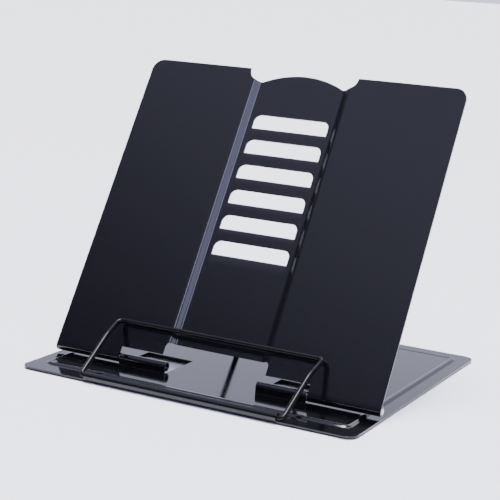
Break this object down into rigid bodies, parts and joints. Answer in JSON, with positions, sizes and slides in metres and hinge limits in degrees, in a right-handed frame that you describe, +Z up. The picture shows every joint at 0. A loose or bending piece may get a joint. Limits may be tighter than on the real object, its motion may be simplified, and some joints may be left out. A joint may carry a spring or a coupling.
{
  "type": "photo album stand",
  "caption": "Folding sheet-metal stand that holds an open photo album on a tilted slotted back plate, with a wire bail across the pages and a wire prop behind.",
  "frame": {"origin": "under the middle of the whole stand, on the surface it stands on", "axes": "+X along the width to the stand's right as seen from the front, +Y to the rear, +Z up"},
  "size_m": [0.2162, 0.2048, 0.1804],
  "materials": {
    "black_paint": "high gloss black paint on pressed steel",
    "black_paint_satin": "semi-gloss black paint on pressed steel",
    "bare_steel": "bare drawn steel",
    "painted_wire": "semi-gloss dark grey painted wire",
    "pad_rubber": "matt soft rubber"
  },
  "bodies": {
    "base": {"base_plate": "black_paint", "hinge_pin_left": "bare_steel", "hinge_pin_right": "bare_steel", "pad_front_left": "pad_rubber", "pad_front_right": "pad_rubber", "pad_rear_left": "pad_rubber", "pad_rear_right": "pad_rubber"},
    "plate": {"back_plate": "black_paint_satin"},
    "bail": {"page_bail": "painted_wire"},
    "prop": {"prop_wire": "painted_wire"}
  },
  "joints": [
    {"name": "plate_fold", "type": "hinge", "parent": "base", "child": "plate", "pos_m": [0, -0.06081, 0.0063], "axis": [1, 0, 0], "range_deg": [-55.5, 0]},
    {"name": "prop_fold", "type": "hinge", "parent": "base", "child": "prop", "pos_m": [0, 0.02419, 0.0052], "axis": [1, 0, 0], "range_deg": [-124, 0]},
    {"name": "bail_swing", "type": "hinge", "parent": "base", "child": "bail", "pos_m": [0, -0.09971, 0.00368], "axis": [1, 0, 0], "range_deg": [0, 145]}
  ],
  "couplings": [
    {"joint": "prop_fold", "follows": "plate_fold", "ratio": 2.23}
  ]
}
